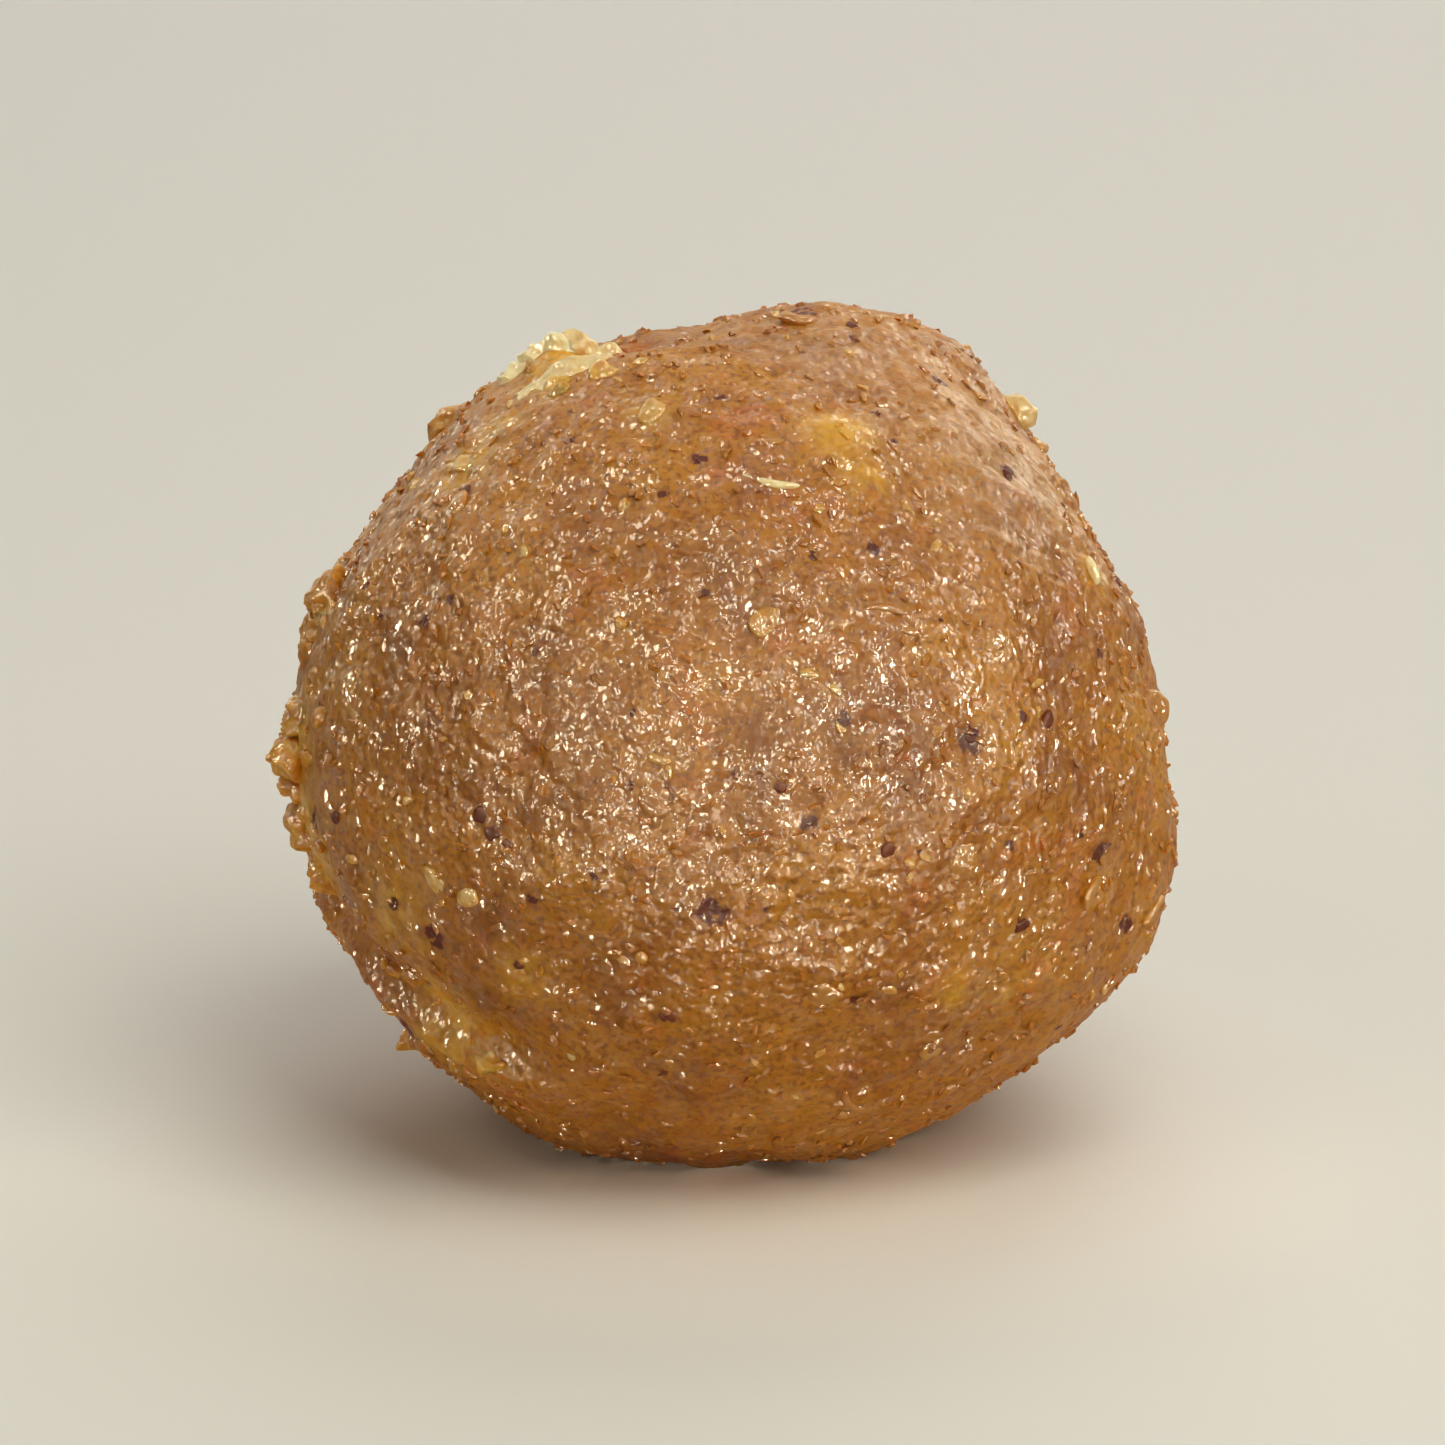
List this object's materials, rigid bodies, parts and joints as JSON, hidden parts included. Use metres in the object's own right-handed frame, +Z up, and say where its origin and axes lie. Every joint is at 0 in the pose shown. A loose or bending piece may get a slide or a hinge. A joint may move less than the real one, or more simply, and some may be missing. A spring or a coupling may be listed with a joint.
{
  "type": "coconut ladoo",
  "caption": "Hand-rolled ball of ground coconut and jaggery paste, lumpy and glistening, with scraps and shreds standing out, resting on a small flat.",
  "frame": {"origin": "middle of the small flat that the ball rests on", "axes": "+Z up, -Y towards the front that the picture shows, +X to the right and along the ball's widest measure"},
  "size_m": [0.0405, 0.0382, 0.0376],
  "materials": {
    "paste": "satin",
    "coconut": "satin",
    "nut_skin": "satin"
  },
  "bodies": {
    "root": {"ladoo": "paste"}
  },
  "joints": []
}
